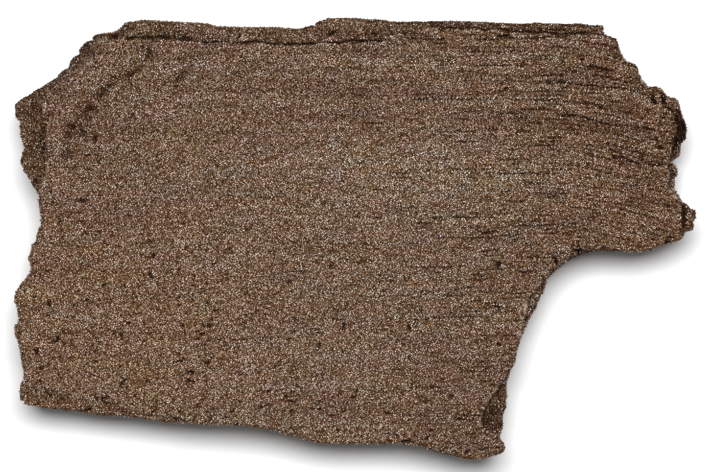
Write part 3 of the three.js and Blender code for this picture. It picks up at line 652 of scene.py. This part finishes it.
class Flow:
    """A value in a material. Sums and products of values add Math nodes, and make() adds any
    other node, with its settings first and then the values or links of its sockets."""

    def __init__(self, tree, socket=None):
        self.tree, self.socket = tree, socket

    def make(self, kind, settings, sockets, output=0):
        node = self.tree.nodes.new(kind)
        for name, value in settings.items():
            if name == "stops":
                while len(node.color_ramp.elements) < len(value):
                    node.color_ramp.elements.new(1)
                for element, (place, colour) in zip(node.color_ramp.elements, value):
                    element.position, element.color = place, (*colour, 1)
            else:
                setattr(node, name, value)
        for name, value in sockets.items():
            if isinstance(value, Flow):
                self.tree.links.new(value.socket, node.inputs[name])
            else:
                node.inputs[name].default_value = value
        return Flow(self.tree, node.outputs[output])

    def math(self, operation, *values):
        return self.make("ShaderNodeMath", {"operation": operation}, dict(enumerate(values)))

    def __add__(self, other):
        return self.math("ADD", self, other)

    def __sub__(self, other):
        return self.math("SUBTRACT", self, other)

    def __rsub__(self, other):
        return self.math("SUBTRACT", other, self)

    def __mul__(self, other):
        return self.math("MULTIPLY", self, other)

    __radd__, __rmul__ = __add__, __mul__

    def between(self, low, high):
        """0 at low and 1 at high, smoothly."""
        return self.make("ShaderNodeMapRange", {"interpolation_type": "SMOOTHSTEP"},
                         {"Value": self, "From Min": low, "From Max": high})


def new_material(name):
    """A material, a Flow to make its nodes with, and its shader."""
    material = bpy.data.materials.new(name)
    material.use_nodes = True
    return material, Flow(material.node_tree), material.node_tree.nodes["Principled BSDF"]


# Broad lighter and darker areas of painted light and shade, with a painted pool of light over the middle:
# the middle, the reach in x and y, and how much lighter.
painted_light_areas = [
    (5, 14, 42, 17, 0.17), (45, 15, 32, 9, 0.15), (4, -8, 34, 8, 0.07),
    (-74, 16, 36, 34, -0.08), (38, -42, 34, 26, -0.15),
]
# The warmer area: its middle and its reach.
warm_area = (-80, -25, 75, 45)
# Stripes along the grain: the length, the width, a seed and the share of each layer of them.
stripe_layers = [(70, 5, 9, 0.35), (50, 1.7, 13, 0.4), (14, 1.2, 17, 0.25)]
stripe_contrast, more_at_right, more_above = 0.32, 0.42, 0.28
# How much darker the right end is, and how much painted shade lies toward the top.
darker_at_right, painted_shade_above = 0.13, 0.07
mean_red, mean_green, mean_blue = 0.92, 0.826, 0.724
# How much redder and bluer the patches, the warm area, the right end and lighter stone are.
patch_red, warm_red, right_red, light_red = 0.34, 0.045, 0.05, -0.3
patch_blue, warm_blue, right_blue, light_blue = 0.42, -0.05, -0.04, 0.1


def wood_colour(flow):
    """The brown of the stone: lighter and darker stripes that run with the grain and bend down at the
    right end, and patches that are redder or bluer. It has a painted pool of light toward the middle and
    painted shade toward the top, is warmer at the lower left and darker toward the right, and what is
    darker is also redder."""
    place = flow.make("ShaderNodeTexCoord", {}, {}, "Object")
    place = flow.make("ShaderNodeVectorMath", {"operation": "SCALE"}, {0: place, "Scale": 1 / millimetre})
    x, y, z = (flow.make("ShaderNodeSeparateXYZ", {}, {0: place}, k) for k in range(3))
    across = y + x.between(bend_from, bend_to) * bend_shift

    def patches(x_size, y_size, seed):
        at = flow.make("ShaderNodeCombineXYZ", {}, {
            0: x * (1 / x_size) + seed, 1: across * (1 / y_size) + seed, 2: z * (1 / y_size),
        })
        return flow.make("ShaderNodeTexNoise", {}, {"Vector": at, "Scale": 1.0, "Detail": 2.0})

    def area(middle_x, middle_y, reach_x, reach_y):
        away_x, away_y = (x - middle_x) * (1 / reach_x), (y - middle_y) * (1 / reach_y)
        return 1 - (away_x * away_x + away_y * away_y).between(0, 1)

    stripes = sum(patches(*form) * part for *form, part in stripe_layers)
    right, above, warm = x.between(30, 84), across.between(8, 44), area(*warm_area)
    contrast = stripe_contrast + right * more_at_right + above * more_above
    light = (stripes.between(0.32, 0.68) - 0.5) * contrast
    painted_broad_light = sum(area(*spread) * lighter for *spread, lighter in painted_light_areas)
    painted_broad_light = painted_broad_light - right * darker_at_right - above * painted_shade_above
    light = light + painted_broad_light + light * painted_broad_light
    red = (patches(9, 2.6, 1) - 0.5) * patch_red + warm * warm_red + right * right_red + light * light_red
    blue = (patches(12, 3.4, 5) - 0.5) * patch_blue
    blue = blue + warm * warm_blue + right * right_blue + light * light_blue
    hue = flow.make("ShaderNodeCombineXYZ", {}, {
        0: (red + 1) * mean_red, 1: mean_green, 2: (blue + 1) * mean_blue,
    })
    return flow.make("ShaderNodeVectorMath", {"operation": "SCALE"}, {0: hue, "Scale": light + 1})


# The painted glints and shade on the flats of the points: the size of a fleck, and the colour of each
# tone, from painted shade to a painted glint.
glint_fleck_size = 0.24
shade_to_glint_colours = [
    (0, (0.028, 0.0105, 0.002)), (0.3, (0.104, 0.0515, 0.0218)), (0.55, (0.188, 0.118, 0.07)),
    (0.76, (0.279, 0.206, 0.155)), (0.89, (0.448, 0.378, 0.324)), (1, (0.745, 0.7, 0.69)),
]
glint_fleck_contrast, set_off = 1.65, 0.17
speck_size, speck_from, speck_full, speck_dark = 2, 0.955, 0.97, 0.65
deepest_shade = 0.25


def flecked(flow, tone, rise):
    """The colour of the druse for a tone from 0, painted shade, to 1, a painted glint where a face of a
    point catches the light. Painted flecks as small as a grain add to the tone, each set off a little
    from the four beside it, and a few blocks of them are dark specks. Where the tone is low the brown is
    darkened further as painted shade. With a rise of 1 the flecks are as tall as wide, and with 0 each
    reaches all the way down."""
    place = flow.make("ShaderNodeTexCoord", {}, {}, "Object")
    scale = 1 / (glint_fleck_size * millimetre)
    place = flow.make("ShaderNodeVectorMath", {"operation": "MULTIPLY"},
                      {0: place, 1: (scale, scale, scale * rise)})
    place = flow.make("ShaderNodeVectorMath", {"operation": "FLOOR"}, {0: place})

    def glint_fleck(step_x, step_y):
        at = flow.make("ShaderNodeVectorMath", {"operation": "ADD"}, {0: place, 1: (step_x, step_y, 0.5)})
        return flow.make("ShaderNodeTexWhiteNoise", {}, {"Vector": at})

    beside_it = glint_fleck(1, 0) + glint_fleck(-1, 0) + glint_fleck(0, 1) + glint_fleck(0, -1) - 2
    uneven = glint_fleck(0, 0) - 0.5 - beside_it * set_off
    block = flow.make("ShaderNodeVectorMath", {"operation": "SCALE"}, {0: place, "Scale": 1 / speck_size})
    block = flow.make("ShaderNodeVectorMath", {"operation": "FLOOR"}, {0: block})
    speck = flow.make("ShaderNodeTexWhiteNoise", {}, {"Vector": block}).between(speck_from, speck_full)
    shade = flow.make("ShaderNodeValToRGB", {"stops": shade_to_glint_colours},
                      {"Fac": tone + uneven * glint_fleck_contrast - speck * speck_dark})
    open_to_light = tone.between(-0.5, 0.2) * (1 - deepest_shade) + deepest_shade
    lit = flow.make("ShaderNodeVectorMath", {"operation": "SCALE"},
                    {0: wood_colour(flow), "Scale": open_to_light})
    return flow.make("ShaderNodeMix", {"data_type": "RGBA", "blend_type": "MULTIPLY"},
                     {0: 1.0, 6: lit, 7: shade}, 2)


# The stone between the points is dull and dark, and darkest where the druse is missing and where painted
# shade lies in the cuts and beside the rims.
stone_tone = 0.05
stone, flow, shader = new_material("stone_between_the_points")
dark = flow.make("ShaderNodeAttribute", {"attribute_name": "hollow"}, {}, "Fac")
colour = flecked(flow, stone_tone - dark, 1)
stone.node_tree.links.new(colour.socket, shader.inputs["Base Color"])
shader.inputs["Roughness"].default_value = 0.7
shader.inputs["Specular IOR Level"].default_value = 0.05
slab.data.materials.append(stone)
hollow = slab.data.attributes.new("hollow", "FLOAT", "POINT")
hollow.data.foreach_set("value", np.append(top_bare_and_shade, np.zeros(len(slab_points) - count)))
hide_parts("petrified_wood")
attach(slab, "root")

# ---------------------------------------------------------------------------------------------
# The druse. Quartz points about half a millimetre across that grew side by side on every face of
# the slab. Each is a three-sided point of its own size, turn and lean, sunk into the stone.
# ---------------------------------------------------------------------------------------------
sunk_share = 0.22  # of a point's size is below the surface
radius_range, height_range, most_lean = (0.55, 1.15), (0.6, 1.4), 0.75
large_share, large_by = 0.06, 1.35
# Points within a millimetre of the outline are darker.
darker_at_outline, darker_outline_reach = 0.35, 0.9
# The tone of a point: a base, a random step for each point, painted light added on each of its flats, and
# how much missing druse with painted shade lowers it.
base_tone, crystal_tone, flat_glint_tone, bare_and_shade_tone = 0.22, 0.1, 0.1, 0.75
# Where the corners of a point's three flats and of its base lie in its cell of the map.
map_low, map_right, map_up, map_tip = (0.04, 0.04), (0.88, 0.04), (0.04, 0.88), (0.32, 0.32)
map_base = ((0.16, 0.96), (0.96, 0.16), (0.96, 0.96))
map_flats = np.array([
    (map_low, map_right, map_tip), (map_right, map_up, map_tip), (map_up, map_low, map_tip), map_base,
])


def crystals(name, material, on_quads, share, size, tall, seed, on_top=False, level=True):
    """Closed three-sided points on four-sided patches, each patch shared out as (columns, rows)
    of them. Each stands on the patch's normal, at a random spot of its share, with a random
    radius, height and turn, and a tip that leans to a random side. The map of a level piece is its
    plan, and on other pieces each point has a cell of the map, its base beside its three flats."""
    rng = np.random.default_rng(seed)
    a, b, c, d = (slab_points[on_quads[:, k]] for k in range(4))
    up = np.cross((b - a) + (c - d), (d - a) + (c - b))
    wide_enough = np.linalg.norm(up, axis=1) > 1e-6
    a, b, c, d, up = (v[wide_enough] for v in (a, b, c, d, up))
    up /= np.linalg.norm(up, axis=1)[:, None]
    each = share[0] * share[1]
    many = len(a) * each
    a, b, c, d, up = (np.repeat(v, each, 0) for v in (a, b, c, d, up))
    own = np.tile(np.arange(each), many // each)
    u = (own % share[0] + rng.uniform(0.1, 0.9, many)) / share[0]
    v = (own // share[0] + rng.uniform(0.1, 0.9, many)) / share[1]
    u, v = u[:, None], v[:, None]
    place = a * (1 - u) * (1 - v) + b * u * (1 - v) + c * u * v + d * (1 - u) * v
    bare_and_shade = np.zeros(many)
    if on_top:
        top, bare_and_shade = top_height(place[:, 0], place[:, 1])
        depth, along = depth_inside(place[:, 0], place[:, 1])
        place[:, 2] = top - edge_rounding(depth, along)
        bare_and_shade = np.maximum(bare_and_shade, darker_at_outline * (1 - smooth(depth, 0, darker_outline_reach)))
    side = np.cross(up, rng.normal(size=(many, 3)))
    side /= np.linalg.norm(side, axis=1)[:, None]
    other = np.cross(up, side)
    radius = size * rng.uniform(*radius_range, many)
    radius *= np.where(rng.random(many) < large_share, large_by, 1)
    corners = []
    for turn in (0, 2 * math.pi / 3, 4 * math.pi / 3):
        outward = side * math.cos(turn) + other * math.sin(turn)
        corners.append(place + radius[:, None] * outward - sunk_share * size * up)
    lean = rng.uniform(-most_lean, most_lean, (2, many)) * radius
    height = tall * radius * rng.uniform(*height_range, many)
    tip = place + lean[0][:, None] * side + lean[1][:, None] * other + height[:, None] * up
    points = np.stack(corners + [tip], 1).reshape(-1, 3)
    points = np.clip(points, box_low, box_high)
    first = 4 * np.arange(many)[:, None, None]
    faces = (first + np.array([(0, 1, 3), (1, 2, 3), (2, 0, 3), (2, 1, 0)])).reshape(-1, 3)
    piece = mesh_piece(name, points, faces, False)

    # Of the points on one patch, each gets its own step of the tone, lowered by missing druse and painted
    # shade, and each of their flats adds its own painted light.
    ranks = rng.permuted(np.tile(np.arange(each), (many // each, 1)), axis=1).ravel()
    of_crystal = (ranks + rng.random(many)) / each
    of_flat = rng.random(4 * many)
    tones_of_flats = base_tone + np.repeat(crystal_tone * of_crystal - bare_and_shade_tone * bare_and_shade, 4)
    tone = piece.data.attributes.new("tone", "FLOAT", "FACE")
    tone.data.foreach_set("value", tones_of_flats + flat_glint_tone * of_flat)
    if level:
        plan = points[faces][..., :2]
        spots = (plan - plan.min((0, 1))) / np.ptp(plan, axis=(0, 1))
    else:
        in_row = math.ceil(math.sqrt(many))
        cell = np.stack([np.arange(many) % in_row, np.arange(many) // in_row], 1)
        spots = (cell[:, None, None] + map_flats) / in_row
    piece.data.uv_layers.new(name="OFBake").data.foreach_set("uv", spots.astype(np.float32).ravel())
    piece.data.materials.append(material)
    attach(piece, "root")


def quartz(name, rise):
    """Clouded quartz, stained brown, with flats that catch the light, and painted glints and shade in its
    colour.
    """
    material, flow, shader = new_material(name)
    tone = flow.make("ShaderNodeAttribute", {"attribute_name": "tone"}, {}, "Fac")
    material.node_tree.links.new(flecked(flow, tone, rise).socket, shader.inputs["Base Color"])
    shader.inputs["Roughness"].default_value = 0.3
    shader.inputs["IOR"].default_value = 1.54
    shader.inputs["Specular IOR Level"].default_value = 0.2
    return material


face_quartz, side_quartz = quartz("quartz_points_on_the_face", 0), quartz("quartz_points_round_it", 1)

# The steep falls from the face to the ledges are crusted down their whole height, so they have
# more points than the level patches. The face is in three pieces, from left to right.
steep_rise, beside_rim, shallow = 1, 1.3, 0.2
quad_x, quad_y = slab_x[top_quads].mean(1), slab_y[top_quads].mean(1)
steep = np.ptp(top_z[top_quads], axis=1) > steep_rise
steep &= beside(quad_x, quad_y, face_rim)[0] < beside_rim
steep &= crack_depth(quad_x, quad_y, cracks) < shallow
level_quads, level_x = top_quads[~steep], quad_x[~steep]
face_grain = {"share": (2, 2), "size": 0.26, "tall": 0.8, "on_top": True}
left_part, right_part = level_x < -32, level_x >= 14
middle_part = ~(left_part | right_part)
crystals("druse_face_left", face_quartz, level_quads[left_part], seed=1, **face_grain)
crystals("druse_face_middle", face_quartz, level_quads[middle_part], seed=2, **face_grain)
crystals("druse_face_right", face_quartz, level_quads[right_part], seed=5, **face_grain)
crystals("druse_ledges", side_quartz, top_quads[steep], (4, 5), 0.3, 0.7, 6, on_top=True, level=False)
crystals("druse_walls", side_quartz, wall_quads, (1, 1), 0.42, 0.7, 3, level=False)
crystals("druse_underside", side_quartz, low_quads, (1, 1), 0.45, 0.7, 4)

# ---------------------------------------------------------------------------------------------
# The table and the light: a pale table, a large soft lamp overhead, a little toward the back, and
# an even room round them. The camera looks straight down on the face.
# ---------------------------------------------------------------------------------------------
table_reach = 900
table_corners = [(-1, -1, 0), (1, -1, 0), (1, 1, 0), (-1, 1, 0)]
floor = mesh_piece("floor", table_reach * np.array(table_corners, float), np.array([[0, 1, 2, 3]]), False)
floor_material, _, floor_shader = new_material("pale_table")
floor_shader.inputs["Base Color"].default_value = (0.64, 0.64, 0.64, 1)
floor.data.materials.append(floor_material)

scene = bpy.context.scene
scene.view_settings.view_transform = "Standard"
world = bpy.data.worlds.new("studio")
scene.world = world
world.use_nodes = True
world.node_tree.nodes["Background"].inputs["Color"].default_value = (1, 1, 1, 1)
world.node_tree.nodes["Background"].inputs["Strength"].default_value = 0.23

lamp = bpy.data.lights.new("overhead", "AREA")
lamp.shape = "ELLIPSE"
lamp.size = 1
lamp.size_y = 0.6
lamp.energy = 55
lamp_object = bpy.data.objects.new("overhead", lamp)
lamp_left, lamp_back, lamp_height = -0.01, 0.34, 1.8
lamp_object.location = (lamp_left, lamp_back, lamp_height)
lamp_object.rotation_euler = (-math.atan2(lamp_back, lamp_height), 0, 0)
scene.collection.objects.link(lamp_object)

camera = bpy.data.cameras.new("camera")
camera.sensor_width = 36
camera_object = bpy.data.objects.new("camera", camera)
camera_x, camera_y = -0.000418, 0.0006445
upper_level, distance, frame_width = 0.027, 1.5, 0.177
camera.lens = camera.sensor_width * distance / frame_width
camera_object.location = (camera_x, camera_y, upper_level + distance)
scene.collection.objects.link(camera_object)
scene.camera = camera_object
